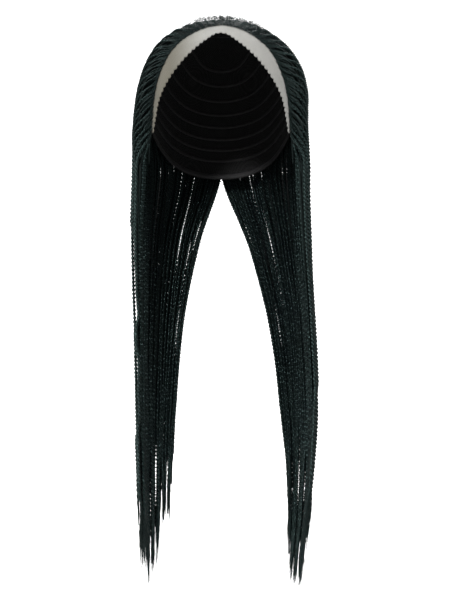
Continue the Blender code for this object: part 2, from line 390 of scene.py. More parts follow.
def storeValue(tree, shape, name, value, kind="FLOAT"):
    wires = {"Geometry": shape, "Name": name, "Value": value}
    made = addNode(tree, "GeometryNodeStoreNamedAttribute", wires, data_type=kind, domain="POINT")
    return made.outputs["Geometry"]


def namedValue(tree, name):
    wires = {"Name": name}
    return addNode(tree, "GeometryNodeInputNamedAttribute", wires, data_type="FLOAT").outputs["Attribute"]


def addRing(tree, corners):
    wires = {"Resolution": corners, "Radius": 1.0}
    return addNode(tree, "GeometryNodeCurvePrimitiveCircle", wires).outputs["Curve"]


def addTube(tree, curves, ring, radius):
    wires = {"Curve": curves, "Profile Curve": ring, "Scale": radius, "Fill Caps": True}
    return addNode(tree, "GeometryNodeCurveToMesh", wires).outputs["Mesh"]


def closeTree(tree, sizes, mesh):
    soft = addNode(tree, "GeometryNodeSetShadeSmooth", {"Geometry": mesh}).outputs[0]
    real = addNode(tree, "GeometryNodeRealizeInstances", {"Geometry": soft}).outputs[0]
    wires = {"Geometry": real, "Material": sizes["Hair"]}
    dressed = addNode(tree, "GeometryNodeSetMaterial", wires).outputs[0]
    addNode(tree, "NodeGroupOutput", {"Geometry": dressed})
    return tree


# Lines of guide points with named values on them
def addGuides(name, lines):
    mesh = bpy.data.meshes.new(name)
    points, edges = [], []
    for line in lines:
        first = len(points)
        points.extend(line["points"])
        edges.extend((first + k, first + k + 1) for k in range(len(line["points"]) - 1))
    mesh.from_pydata(points, edges, [])
    for key in ("phase", "thickness", "shade", "inner"):
        if key in lines[0]:
            values = [line[key] for line in lines for _ in line["points"]]
            mesh.attributes.new(key, "FLOAT", "POINT").data.foreach_set("value", values)
    return addObject(name, mesh)


def addObject(name, data):
    made = bpy.data.objects.new(name, data)
    collection.objects.link(made)
    return made


def runTree(source, tree, inputs, form, paint):
    values = {"Hair": paint, **{label: form[key] for label, _, key in inputs}}
    modifier = source.modifiers.new("hair", "NODES")
    modifier.node_group = tree
    for item in tree.interface.items_tree:
        if item.item_type == "SOCKET" and item.in_out == "INPUT" and item.name in values:
            modifier[item.identifier] = values[item.name]
    source.update_tag()
    graph = bpy.context.evaluated_depsgraph_get()
    mesh = bpy.data.meshes.new_from_object(source.evaluated_get(graph))
    name = source.name
    bpy.data.objects.remove(source)
    made = addObject(name, mesh)
    made.name = mesh.name = name
    return made


def triangleCount(made):
    made.data.calc_loop_triangles()
    return len(made.data.loop_triangles)


# Black fibre of the twists, with painted shade in the groove between two strands, matt at the roots and
# lightened there as a painted haze of light, lighter at the ends
twistedPaint = {
    "streaksAcross": 9.0,
    "streaksAlong": 220.0,
    "fibreRoughness": 0.6,
    "groove": ((0.35, 0.95), (0.25, 1.0)),
    "lighterEnds": ((0.40, 0.68), (0.0, 0.65)),
    "rootsHazeAndMatt": ((0.03, 0.14), (0.40, 0.0)),
    "sheen": {"Specular IOR Level": 0.50, "Specular Tint": (0.66, 1.0, 0.96, 1)},
    "places": (0.15, 1.0),
    "dark": (0.0012, 0.0022, 0.0022),
    "light": (0.0100, 0.0170, 0.0162),
    "rough": (0.24, 0.42),
    "rougherRoots": 0.5,
}


def twistedHairMaterial():
    made, tree, shader = newMaterial("twistedHair", twistedPaint["sheen"])
    around = attributeOf(tree, "strandPlace", "Vector")
    along, shade = attributeOf(tree, "strandAlong"), attributeOf(tree, "shade")
    parts = addNode(tree, "ShaderNodeSeparateXYZ", {0: around}).outputs
    place = addNode(tree, "ShaderNodeCombineXYZ", {
        0: addMath(tree, "MULTIPLY", parts[0], twistedPaint["streaksAcross"]),
        1: addMath(tree, "MULTIPLY", parts[1], twistedPaint["streaksAcross"]),
        2: addMath(tree, "MULTIPLY", along, twistedPaint["streaksAlong"]),
    }).outputs[0]
    fibre = addNoise(tree, place, 1.0, roughness=twistedPaint["fibreRoughness"])
    outward = addNode(tree, "ShaderNodeVectorMath", {0: around}, operation="LENGTH").outputs["Value"]
    # Painted shade: the fibre's colour is darkened towards the groove between the two strands
    groove = remap(tree, outward, *twistedPaint["groove"])
    # The colour gets lighter towards the ends of the twists
    endsLighter = remap(tree, along, *twistedPaint["lighterEnds"])
    # Painted light: the roots are lightened in colour like a haze of light, and the same mask also makes them
    # rougher
    rootHazeAndMatt = remap(tree, along, *twistedPaint["rootsHazeAndMatt"])
    tone = addMath(tree, "MULTIPLY", addMath(tree, "ADD", fibre, shade, endsLighter, rootHazeAndMatt), groove)
    paint = addRamp(tree, tone, twistedPaint["dark"], twistedPaint["light"], twistedPaint["places"])
    fuzz = addMath(tree, "MULTIPLY", rootHazeAndMatt, twistedPaint["rougherRoots"])
    rough = addMath(tree, "ADD", fuzz, remap(tree, fibre, (0.0, 1.0), twistedPaint["rough"]))
    wireShader(tree, shader, paint, rough, fibre)
    return made


# Loose fibre: a little lighter and flatter than the twists
loosePaint = {
    "streaksAlong": 300.0,
    "streaksByShade": 90.0,
    "tone": 0.6,
    "sheen": {"Specular IOR Level": 0.40, "Specular Tint": (0.70, 1.0, 0.97, 1)},
    "places": (0.2, 1.0),
    "dark": (0.0045, 0.0068, 0.0066),
    "light": (0.0260, 0.0345, 0.0330),
    "rough": (0.42, 0.62),
}


def looseHairMaterial():
    made, tree, shader = newMaterial("looseHair", loosePaint["sheen"])
    along, shade = attributeOf(tree, "strandAlong"), attributeOf(tree, "shade")
    place = addNode(tree, "ShaderNodeCombineXYZ", {
        0: addMath(tree, "MULTIPLY", along, loosePaint["streaksAlong"]),
        1: addMath(tree, "MULTIPLY", shade, loosePaint["streaksByShade"]),
    }).outputs[0]
    fibre = addNoise(tree, place, 1.0)
    tone = addMath(tree, "MULTIPLY", addMath(tree, "ADD", fibre, shade), loosePaint["tone"])
    paint = addRamp(tree, tone, loosePaint["dark"], loosePaint["light"], loosePaint["places"])
    wireShader(tree, shader, paint, remap(tree, fibre, (0.0, 1.0), loosePaint["rough"]))
    return made


hairMaterial = twistedHairMaterial()
looseMaterial = looseHairMaterial()

# Rope twists: two strands turned together, from the hairline to loose ends
twists = {
    "rootsInRow": (22, 25, 25, 25),
    "rootSetback": (0.0, 0.0075, 0.050, 0.085),
    "setbackVaries": (0.8, 1.2),
    "latestRoot": (0.16, 0.72),
    "latestFrom": 0.40,
    "latestVaries": (0.8, 1.0),
    "rowShift": (0.15, 0.65, 0.40, 0.90),
    "rootVaries": (-0.08, 0.08),
    "fromInside": (1.0, 0.67, 0.33, 0.0),
    "width": 0.0044,
    "thickness": (0.90, 1.06),
    "shade": (-0.22, 0.30),
    "turn": 0.0084,
    "outerRings": 0.00160,
    "innerRings": 0.00245,
    "outerCorners": 8,
    "innerCorners": 6,
    "outerWaist": 0.20,
    "innerWaist": 0.46,
    "roundSide": (0.71, 0.4),
    "rootLength": 0.014,
    "rootShare": 0.20,
    "fineShare": 0.68,
    "fineLength": 0.110,
    "rootRise": 0.030,
    "rootHeight": 0.0002,
    "tipLength": 0.045,
    "tipShare": 0.34,
    "untwist": 0.050,
    "evenHang": 0.75,
    "sway": (0.0012, 0.0022),
    "backSway": (0.0016, 0.0022),
    "looseSway": (0.0016, 0.0040),
    "swayWave": (3.7, 11.0, 9.1),
    "backFrom": (0.5, 0.25),
    "looseFrom": (0.55, 0.20),
    "hangingFrom": (-0.15, 0.25),
    "swayOnHead": 0.2,
    "stagger": {1: 0.16, -1: 0.17},
    "staggerPower": 1.5,
    "endsAbove": 0.012,
    "innerLonger": {1: 0.05, -1: 0.0},
    "innerAt": 0.84,
    "innerReach": 0.16,
    "headStep": 0.007,
    "fallSteps": 38,
    "veerFrom": 0.75,
    "veerTo": 0.05,
    "deepFrom": 0.90,
    "crownSink": 0.0024,
    "crownDepth": 0.035,
    "bulgeInside": 0.4,
}

# Low down the twists hang in columns, and their ends draw together in clumps and in one main lock
gathers = {
    "columns": {1: 4, -1: 6},
    "columnsFrom": 0.60,
    "columnsEase": 0.2,
    "columnPull": (0.2, 1.0),
    "columnWave": (3.1, 5.0, 9.0),
    "loneEdge": 0.3,
    "clumps": 15,
    "clumpWidth": (0.4, 1.6),
    "clumpFrom": (0.66, 0.84),
    "clumpPull": (0.10, 0.65),
    "clumpShorter": 0.07,
    "clumpAside": (0.3, 0.7),
    "clumpDepth": 0.6,
    "mainLock": {1: 0.65, -1: 0.71},
    "mainLockReach": 0.26,
    "mainLockCore": 1.4,
    "mainLockPull": {1: 0.05, -1: 0.42},
    "mainLockFrom": 0.80,
    "mainLockKeeps": 0.85,
}

# Places where the hair stands out: side, level, half height of the place, how far
bulges = [
    (1, -0.062, 0.050, 0.0036),
    (-1, -0.115, 0.030, 0.0010),
    (-1, 0.004, 0.022, -0.0012),
]

# Stretches where the outermost twist hangs clear: side, drop from and to, share for its end, the gap
apart = [
    (-1, 0.12, 0.42, 0.07, 0.0024),
    (-1, 0.38, 0.66, 0.07, 0.0012),
    (-1, 0.74, 0.92, 0.10, 0.0008),
    (1, 0.50, 0.90, 0.26, 0.0009),
]
clearance = {"start": 0.07, "widthShare": 0.88, "wave": (16.0, 4.0, 9.0), "change": 0.8, "pull": 1.5}

# Clumps have uneven widths, each with its own start, pull and reach
clumps = {}
for side in (1, -1):
    edges = [0.0]
    for _ in range(gathers["clumps"]):
        edges.append(edges[-1] + dice.uniform(*gathers["clumpWidth"]))
    clumps[side] = [{
        "from": low / edges[-1],
        "to": high / edges[-1],
        "start": dice.uniform(*gathers["clumpFrom"]),
        "pull": dice.uniform(*gathers["clumpPull"]),
        "shorter": dice.uniform(0.0, gathers["clumpShorter"]),
        "aside": dice.uniform(*gathers["clumpAside"]),
    } for low, high in zip(edges, edges[1:])]


def clumpAt(side, across):
    return next((clump for clump in clumps[side] if across < clump["to"]), clumps[side][-1])


# How near a twist is to the long main lock of its side, from 0 to 1
def nearMainLock(side, across):
    away = abs(across - gathers["mainLock"][side]) / gathers["mainLockReach"]
    return smooth(gathers["mainLockCore"] * (1 - away))


def twistCentre(side, across, place, lift, radius, fromInside):
    if place <= 0:
        path, along = domePath(side, across)
        point = atShare(path, along, 1 + place)
        height = radius + max(roomOnHead(point.z) - 2 * radius, 0.0) * fromInside
        height -= twists["crownSink"] * (1 - smooth(-point.z / twists["crownDepth"]))
        for where, level, half, out in bulges:
            if where == side:
                near = smooth(1 - abs(point.z - level) / half)
                height += out * near * mix(twists["bulgeInside"], 1.0, fromInside)
        return hairSurface(point, hairForm["underHair"] + mix(twists["rootHeight"], height, lift))
    room = roomInFall(place)
    height = radius + max(room - 2 * radius, 0.0) * fromInside
    clump = clumpAt(side, across)
    gather = smooth((place - clump["start"]) / (1 - clump["start"])) * clump["pull"]
    middle = mix(clump["from"], clump["to"], clump["aside"])
    inMain = smooth((place - gathers["mainLockFrom"]) / (1 - gathers["mainLockFrom"]))
    main = inMain * gathers["mainLockPull"][side]
    gathered = mix(mix(across, middle, gather), gathers["mainLock"][side], main * nearMainLock(side, across))
    return fallPoint(side, gathered, place, mix(height, room / 2, gather * gathers["clumpDepth"]))


# Each place is moved until, from the front, the side and between, it is halfway between its neighbours
spreading = {
    "seenFrom": (0, 25, 50, 75, 90, 105, 120, 135, 150),
    "room": (0.25, 0.9, 0.9, 0.9),
    "rounds": 60,
    "drop": 0.02,
    "standOff": 0.0022,
    "acrossStep": 0.002,
    "deepStep": 0.05,
    "rootEnds": (0.002, 0.995),
    "hangEnds": (0.002, 0.997),
}


def spreadOut(side, places):
    def hangsAt(across, deep):
        drop, off = spreading["drop"], spreading["standOff"]
        return fallPoint(side, across, drop, mix(off, roomInFall(drop) - off, deep))

    for place in places:
        place["first"] = place["hang"]
        place["room"] = spreading["room"][place["row"]] / twists["rootsInRow"][place["row"]]
    for _ in range(spreading["rounds"]):
        for place in places:
            across, deep = place["hang"], place["deep"]
            place["spot"] = hangsAt(across, deep)
            step = spreading["acrossStep"]
            place["moved"] = (hangsAt(across + step, deep) - place["spot"]) / step
            step = math.copysign(spreading["deepStep"], 0.5 - deep)
            place["sunk"] = (hangsAt(across, deep + step) - place["spot"]) / step
            place["push"] = Vector()
        for azimuth in spreading["seenFrom"]:
            turn = math.radians(azimuth * side)
            level = Vector((math.cos(turn), math.sin(turn), 0.0))
            places.sort(key=lambda place: place["spot"].dot(level))
            for before, place, after in zip(places, places[1:], places[2:]):
                middle = (before["spot"] + after["spot"]) / 2 - place["spot"]
                place["push"] += level * middle.dot(level) / len(spreading["seenFrom"])
        for place in places:
            sideways = place["push"].dot(place["moved"]) / place["moved"].length_squared
            inward = place["push"].dot(place["sunk"]) / place["sunk"].length_squared
            low = max(place["first"] - place["room"], spreading["hangEnds"][0])
            high = min(place["first"] + place["room"], spreading["hangEnds"][1])
            place["hang"] = clamp(place["hang"] + sideways, low, high)
            place["deep"] = clamp(place["deep"] + inward)
    for place in places:
        if place["row"]:
            place["root"] = clamp(place["root"] + place["hang"] - place["first"], *spreading["rootEnds"])


# Where each twist leaves the head, where it hangs and how deep in the bunch
def hangPlaces(side):
    places = []
    for row, count in enumerate(twists["rootsInRow"]):
        for index in range(count):
            spot = index + twists["rowShift"][row] + dice.uniform(*twists["rootVaries"])
            root = clamp(spot / count, *spreading["rootEnds"])
            hang = mix(root, root ** (1 / hairForm["sideCrowding"]), twists["evenHang"])
            places.append({"row": row, "root": root, "hang": hang, "deep": twists["fromInside"][row]})
    spreadOut(side, places)
    return places


# Some columns hang clear of each other, and a twist keeps to its own
def inColumn(side, x, drop, kept):
    inner, outer = (bunchWidth * fallValue(sideNames[side] + part, drop) for part in ("Gap", "Width"))
    count = gathers["columns"][side]
    spot = clamp((abs(x) - inner) / (outer - inner), 0.0, 0.999) * count
    column = int(spot) if kept is None else kept
    clear = 0.5 + 0.5 * waveAt(gathers["columnWave"], column, side, drop)
    pull = mix(*gathers["columnPull"], smooth(clear))
    pull *= smooth((drop - gathers["columnsFrom"]) / gathers["columnsEase"])
    return side * mix(inner, outer, mix(spot, column + 0.5, pull) / count), column


# How far down a twist hangs, as a share of the drop
def reachOf(side, across):
    away = 1 - gathers["mainLockKeeps"] * nearMainLock(side, across)
    uneven = twists["stagger"][side] * dice.random() ** twists["staggerPower"]
    shorter = (uneven + clumpAt(side, across)["shorter"]) * away
    inner = smooth(1 - abs(across - twists["innerAt"]) / twists["innerReach"])
    whole = tipReach(side, clamp(across)) + twists["innerLonger"][side] * inner
    return whole * (1 - shorter) - twists["endsAbove"] * away


def swayed(centre, number, across, spot, lift):
    parts = ((across, "backFrom"), (spot, "looseFrom"), (spot, "hangingFrom"))
    behind, loose, hanging = (smooth((value - twists[key][0]) / twists[key][1]) for value, key in parts)
    for axis in range(2):
        sway = mix(twists["sway"][axis], twists["backSway"][axis], behind)
        sway = mix(sway, twists["looseSway"][axis], loose)
        wave = waveAt(twists["swayWave"], number, centre.z, axis)
        centre[axis] += sway * wave * mix(twists["swayOnHead"], 1.0, hanging) * lift
    return centre


def twistLine(side, place, number):
    row, rootAcross, hangAcross = place["row"], place["root"], place["hang"]
    thickness = dice.uniform(*twists["thickness"])
    radius = twists["width"] / 2 * thickness
    _, along = domePath(side, rootAcross)
    latest = mix(*twists["latestRoot"], smooth(rootAcross / twists["latestFrom"]))
    setback = twists["rootSetback"][row] * dice.uniform(*twists["setbackVaries"])
    started = min(setback / along[-1], latest * dice.uniform(*twists["latestVaries"]))
    onHead = (1 - started) * along[-1]
    reach = reachOf(side, hangAcross)
    headSteps = max(4, math.ceil(onHead / twists["headStep"]))
    places = [started - 1 + (1 - started) * k / headSteps for k in range(headSteps)]
    places += [reach * k / twists["fallSteps"] for k in range(twists["fallSteps"] + 1)]
    points, column = [], None
    for spot in places:
        passed = (spot - started + 1) * along[-1] if spot <= 0 else onHead + spot * fallDrop
        veered = smooth((spot + twists["veerFrom"]) / (twists["veerFrom"] + twists["veerTo"]))
        across = mix(rootAcross, hangAcross, veered)
        lift = smooth(passed / twists["rootRise"])
        grown = 1.0 if row > 1 else mix(twists["fineShare"], 1.0, smooth(passed / twists["fineLength"]))
        sunk = smooth((spot + twists["deepFrom"]) / twists["deepFrom"])
        deep = mix(twists["fromInside"][row], place["deep"], sunk)
        centre = twistCentre(side, across, spot, lift, radius * grown, deep)
        if spot > gathers["columnsFrom"] and (row or rootAcross > gathers["loneEdge"]):
            centre.x, column = inColumn(side, centre.x, spot, column)
        points.append(swayed(centre, number, across, spot, lift))
    return {
        "points": points,
        "phase": dice.uniform(0, 2 * math.pi),
        "thickness": thickness,
        "shade": dice.uniform(*twists["shade"]),
        "inner": 1.0 if row > 1 else 0.0,
        "places": places,
    }


# How far out a line is at this level, or 0 where it doesn't reach it
def outAt(line, level):
    for above, below in zip(line["points"], line["points"][1:]):
        if below.z <= level <= above.z:
            return abs(mix(above.x, below.x, (above.z - level) / max(above.z - below.z, tiny)))
    return 0.0


# The outermost twist of a side keeps its place, and the rest stay clear of it
def hangApart(lines, side, start, end, ending, gap):
    level = -hairForm["earLevel"] - fallDrop * mix(start, end, 0.5)
    outermost = max(lines, key=lambda line: outAt(line, level))
    for line in lines:
        if line is outermost:
            continue
        for spot, point in zip(line["places"], line["points"]):
            if not start < spot < end:
                continue
            edge = outAt(outermost, point.z)
            ease = smooth((spot - start) / clearance["start"]) * smooth((end - spot) / ending)
            change = clearance["change"] * (1 + waveAt(clearance["wave"], spot, side, start))
            limit = edge - (twists["width"] * clearance["widthShare"] + gap * change) * ease
            if edge and abs(point.x) > limit:
                point.x = side * mix(abs(point.x), limit, smooth(ease * clearance["pull"]))


# Section of a twist: two round strands side by side, with a waist between them
def ropeSection(tree, corners, waist):
    position = addNode(tree, "GeometryNodeInputPosition").outputs[0]
    spot = addNode(tree, "ShaderNodeSeparateXYZ", {0: position}).outputs
    side, perWaist = twists["roundSide"]
    slope = addMath(tree, "MULTIPLY", addMath(tree, "ABSOLUTE", spot[0]), side - waist * perWaist)
    pinch = addMath(tree, "ADD", slope, waist)
    pinched = addMath(tree, "MULTIPLY", spot[1], pinch)
    flat = addNode(tree, "ShaderNodeCombineXYZ", {0: spot[0], 1: pinched}).outputs[0]
    wires = {"Geometry": addRing(tree, corners), "Position": flat}
    shaped = addNode(tree, "GeometryNodeSetPosition", wires).outputs["Geometry"]
    place = addNode(tree, "GeometryNodeInputPosition").outputs[0]
    return storeValue(tree, shaped, "strandPlace", place, "FLOAT_VECTOR")


ropeInputs = (
    ("Width", "Float", "width"),
    ("Turn length", "Float", "turn"),
    ("Outer ring spacing", "Float", "outerRings"),
    ("Inner ring spacing", "Float", "innerRings"),
    ("Outer corners", "Int", "outerCorners"),
    ("Inner corners", "Int", "innerCorners"),
    ("Root length", "Float", "rootLength"),
    ("Root share", "Float", "rootShare"),
    ("Fine length", "Float", "fineLength"),
    ("Fine share", "Float", "fineShare"),
    ("Tip length", "Float", "tipLength"),
    ("Tip share", "Float", "tipShare"),
    ("Untwist length", "Float", "untwist"),
)


def twistTree():
    tree, sizes = newHairTree("two strand twist", ropeInputs)
    inner = namedValue(tree, "inner")
    spacing = remap(tree, inner, (0.0, 1.0), (sizes["Outer ring spacing"], sizes["Inner ring spacing"]))
    fine = smoothGuides(tree, sizes, spacing)
    passed = addNode(tree, "GeometryNodeSplineParameter").outputs["Length"]
    left = addMath(tree, "SUBTRACT", addNode(tree, "GeometryNodeSplineLength").outputs["Length"], passed)
    rootWidth, tipWidth, grown = (
        remapSoftly(tree, value, (0.0, sizes[part + " length"]), (sizes[part + " share"], 1.0))
        for part, value in (("Root", passed), ("Tip", left), ("Fine", passed))
    )
    grown = addMath(tree, "MAXIMUM", grown, inner)
    half = addMath(tree, "MULTIPLY", sizes["Width"], 0.5, namedValue(tree, "thickness"))
    radius = addMath(tree, "MULTIPLY", half, rootWidth, tipWidth, grown)
    # Turns slow down and stop over the untwisted end
    end = remap(tree, left, (0.0, sizes["Untwist length"]), (1.0, 0.0))
    lost = addMath(tree, "MULTIPLY", end, end, sizes["Untwist length"], 0.5)
    turns = addMath(tree, "DIVIDE", addMath(tree, "SUBTRACT", passed, lost), sizes["Turn length"])
    tilt = addMath(tree, "ADD", addMath(tree, "MULTIPLY", turns, -2 * math.pi), namedValue(tree, "phase"))
    tilted = addNode(tree, "GeometryNodeSetCurveTilt", {"Curve": fine, "Tilt": tilt}).outputs["Curve"]
    marked = storeValue(tree, tilted, "strandAlong", passed)
    wires = {"Geometry": marked, "Selection": inner}
    split = addNode(tree, "GeometryNodeSeparateGeometry", wires, domain="CURVE")
    joined = addNode(tree, "GeometryNodeJoinGeometry")
    for curves, part in (("Inverted", "outer"), ("Selection", "inner")):
        section = ropeSection(tree, sizes[part.capitalize() + " corners"], twists[part + "Waist"])
        tree.links.new(addTube(tree, split.outputs[curves], section, radius), joined.inputs[0])
    return closeTree(tree, sizes, joined.outputs[0])


ropeTree = twistTree()
twistLines = {}
number = 0
for side in (1, -1):
    ofSide = []
    for place in hangPlaces(side):
        number += 1
        line = twistLine(side, place, number)
        ofSide.append(line)
        twistLines.setdefault((side, min(int(place["root"] * 3), 2)), []).append(line)
    for where, *stretch in apart:
        if where == side:
            hangApart(ofSide, side, *stretch)
print("twists laid out:", number)

for (side, bundle), lines in twistLines.items():
    name = f"{sideNames[side]}_{('front', 'side', 'back')[bundle]}_twists"
    made = runTree(addGuides(name + "_hair", lines), ropeTree, ropeInputs, twists, hairMaterial)
    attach(made, "root")
    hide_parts(name)
    print("twists of", name, triangleCount(made), "triangles")

# Fine hair: thin strands along the guide lines
strandInputs = (
    ("Width", "Float", "width"),
    ("Ring spacing", "Float", "rings"),
    ("Corners", "Int", "corners"),
    ("Root share", "Float", "rootShare"),
    ("Tip share", "Float", "tipShare"),
    ("Taper from", "Float", "taperFrom"),
)
rootTaperEnd = 0.25


def strandTree():
    tree, sizes = newHairTree("fine strands", strandInputs)
    fine = smoothGuides(tree, sizes, sizes["Ring spacing"])
    spot = addNode(tree, "GeometryNodeSplineParameter").outputs
    tip = remap(tree, spot["Factor"], (sizes["Taper from"], 1.0), (1.0, sizes["Tip share"]))
    root = remap(tree, spot["Factor"], (0.0, rootTaperEnd), (sizes["Root share"], 1.0))
    half = addMath(tree, "MULTIPLY", sizes["Width"], 0.5, namedValue(tree, "thickness"))
    radius = addMath(tree, "MULTIPLY", half, tip, root)
    marked = storeValue(tree, fine, "strandAlong", spot["Length"])
    return closeTree(tree, sizes, addTube(tree, marked, addRing(tree, sizes["Corners"]), radius))


fineTree = strandTree()


slotRoom = (0.1, 0.9)
fineHair = {
    "thickness": (0.7, 1.2),
    "shade": (-0.1, 0.35),
    "rings": 0.004,
    "corners": 3,
    "rootShare": 0.3,
    "tipShare": 0.3,
    "taperFrom": 0.6,
}


def strand(points, form):
    thickness = dice.uniform(*form["thickness"])
    return {"points": points, "thickness": thickness, "shade": dice.uniform(*form["shade"])}


def slotShare(n, count):
    return (n + dice.uniform(*slotRoom)) / count


def bothSides(maker, form):
    return [maker(side, n) for side in (1, -1) for n in range(form["perSide"])]


def perTwist(maker, lines, form):
    return [maker(line["points"], n) for line in lines for n in range(form["perTwist"])]


def finishHair(name, lines, form):
    made = runTree(addGuides(name, lines), fineTree, strandInputs, form, looseMaterial)
    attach(made, "root")
    print(name, len(lines), "strands,", triangleCount(made), "triangles")


# Loose ends: each twist lets go of its strands, which draw together into the point of their lock
looseEnds = {
    **fineHair,
    "perTwist": 6,
    "from": (4, 5, 6, 7),
    "below": (0.002, 0.040),
    "belowPower": 1.7,
    "sideways": (0.3, 1.0),
    "aside": 0.0014,
    "spread": 0.0034,
    "spreadPower": 4,
    "bow": 0.0010,
    "gather": 0.60,
    "lowest": -0.594,
    "steps": 7,
    "width": 0.00062,
    "thickness": (0.6, 1.25),
    "shade": (0.0, 0.6),
    "rings": 0.009,
    "rootShare": 1.0,
    "tipShare": 0.10,
    "taperFrom": 0.40,
}


def looseEnd(points, _):
    back = dice.choice(looseEnds["from"])
    bound = (points[-1] - points[-back]).length
    onward = (points[-1] - points[-3]).normalized()
    turn = dice.uniform(0, 2 * math.pi)
    aside = Vector((math.cos(turn), math.sin(turn), 0.0)) * dice.uniform(*looseEnds["sideways"])
    aside *= looseEnds["aside"]
    stray = dice.random() ** looseEnds["spreadPower"] * looseEnds["spread"]
    reach = bound + mix(*looseEnds["below"], dice.random() ** looseEnds["belowPower"])
    bow = Vector((math.sin(turn), -math.cos(turn), 0.0)) * dice.uniform(-looseEnds["bow"], looseEnds["bow"])
    path = []
    for k in range(looseEnds["steps"] + 1):
        share = k / looseEnds["steps"]
        gone = share * reach
        if gone < bound:
            along = gone / bound * (back - 1)
            low = min(int(along), back - 2)
            base = points[-back + low].lerp(points[-back + low + 1], along - low)
        else:
            base = points[-1] + onward * (gone - bound)
        thin = 1 - looseEnds["gather"] * share
        spot = base + aside * thin + aside.normalized() * stray * share**2 + bow * math.sin(share * math.pi)
        spot.z = max(spot.z, looseEnds["lowest"])
        path.append(spot)
    return strand(path, looseEnds)


allTwists = [line for group in twistLines.values() for line in group]
outerTwists = [line for line in allTwists if not line["inner"]]
finishHair("loose_ends", perTwist(looseEnd, allTwists, looseEnds), looseEnds)

# Roots: fine hair combed back over the lace and the front of the cap
rootHair = {
    **fineHair,
    "perSide": 500,
    "jitter": (-0.8, 0.8),
    "across": (0.002, 0.998),
    "ahead": 0.0025,
    "aheadPower": 2.2,
    "behind": 0.010,
    "length": (0.014, 0.030),
    "height": (0.0011, 0.0022),
    "endsHeight": 0.75,
    "drift": 0.0015,
    "steps": 5,
    "width": 0.0010,
    "thickness": (0.6, 1.25),
    "tipShare": 0.5,
    "taperFrom": 0.7,
}


def rootStrand(side, n):
    across = clamp((n + dice.uniform(*rootHair["jitter"])) / rootHair["perSide"], *rootHair["across"])
    path, along = nearPath(side, across)
    slot = round(across * pathSlices)
    nextPath, nextAlong = domePath(side, (slot + 1 if across < 0.99 else pathSlices - 1) / pathSlices)
    within = across * pathSlices - slot
    if n % 2:
        start = -rootHair["ahead"] * dice.random() ** rootHair["aheadPower"]
    else:
        start = rootHair["behind"] * dice.random()
    length = dice.uniform(*rootHair["length"])
    lift = dice.uniform(*rootHair["height"])
    drift = dice.uniform(-rootHair["drift"], rootHair["drift"])
    heading = (path[1] - path[0]).normalized()
    points = []
    for k in range(rootHair["steps"] + 1):
        share = k / rootHair["steps"]
        gone = start + length * share
        spot = path[0] + heading * gone if gone < 0 else atShare(path, along, min(gone / along[-1], 1.0))
        beside = atShare(nextPath, nextAlong, min(max(gone, 0.0) / nextAlong[-1], 1.0)) - spot
        if beside.length > tiny:
            spot = spot + beside * within + beside.normalized() * drift * share
        arch = mix(rootHair["endsHeight"], 1.0, math.sin(share * math.pi))
        points.append(hairSurface(spot, lift * arch))
    return strand(points, rootHair)


finishHair("combed_roots", bothSides(rootStrand, rootHair), rootHair)

# Inner locks: hair combed back under the outer twists, which fills the room below them
innerLocks = {
    **fineHair,
    "perSide": 190,
    "firstAcross": 0.07,
    "start": (0.003, 0.060),
    "startPower": 1.6,
    "length": (0.045, 0.075),
    "longest": 0.8,
    "height": (0.38, 0.76),
    "lowest": 0.001,
    "onCrown": 0.25,
    "finerOnCrown": 0.55,
    "crownDepth": 0.05,
    "rise": 0.016,
    "endsLift": 0.6,
    "sway": 0.002,
    "steps": 6,
    "width": 0.0026,
    "shade": (0.0, 0.3),
    "rings": 0.0075,
    "corners": 4,
}


def innerLock(side, n):
    across = mix(innerLocks["firstAcross"], 1.0, slotShare(n, innerLocks["perSide"]))
    path, along = nearPath(side, across)
    start = mix(*innerLocks["start"], dice.random() ** innerLocks["startPower"])
    length = min(dice.uniform(*innerLocks["length"]), along[-1] * innerLocks["longest"] - start)
    height = dice.uniform(*innerLocks["height"])
    sway = dice.uniform(-innerLocks["sway"], innerLocks["sway"])
    points, lowest = [], innerLocks["lowest"]
    for k in range(innerLocks["steps"] + 1):
        share = k / innerLocks["steps"]
        gone = start + length * share
        spot = atShare(path, along, min(gone / along[-1], 1.0))
        low = mix(innerLocks["onCrown"], 1.0, smooth(-spot.z / innerLocks["crownDepth"]))
        lift = lowest + (roomOnHead(spot.z) * height * low - lowest) * smooth(gone / innerLocks["rise"])
        if k in (0, innerLocks["steps"]):
            lift *= innerLocks["endsLift"]
        spot = hairSurface(spot, hairForm["underHair"] + lift)
        spot.y += sway * math.sin(share * math.pi)
        points.append(spot)
    lock = strand(points, innerLocks)
    lock["thickness"] *= mix(innerLocks["finerOnCrown"], 1.0, smooth(-points[0].z / innerLocks["crownDepth"]))
    return lock


finishHair("inner_locks", bothSides(innerLock, innerLocks), innerLocks)

# Hanging locks: loose hair in the middle of the bunch below the cap
hangingLocks = {
    **fineHair,
    "perSide": 84,
    "across": (0.02, 0.995),
    "from": (-0.55, -0.25),
    "to": (0.12, 0.42),
    "depth": (0.20, 0.65),
    "rootDepth": 0.4,
    "deepPace": 3,
    "steps": 8,
    "width": 0.0034,
    "thickness": (0.7, 1.1),
    "shade": (-0.2, 0.1),
    "rings": 0.014,
    "corners": 4,
    "tipShare": 0.15,
}


def hangingLock(side, n):
    across = mix(*hangingLocks["across"], slotShare(n, hangingLocks["perSide"]))
    start, end = dice.uniform(*hangingLocks["from"]), dice.uniform(*hangingLocks["to"])
    depth = dice.uniform(*hangingLocks["depth"])
    points = []
    for k in range(hangingLocks["steps"] + 1):
        share = k / hangingLocks["steps"]
        deep = depth * mix(hangingLocks["rootDepth"], 1.0, smooth(share * hangingLocks["deepPace"]))
        points.append(twistCentre(side, across, mix(start, end, share), 1.0, hangingLocks["width"] / 2, deep))
    return strand(points, hangingLocks)


finishHair("hanging_locks", bothSides(hangingLock, hangingLocks), hangingLocks)

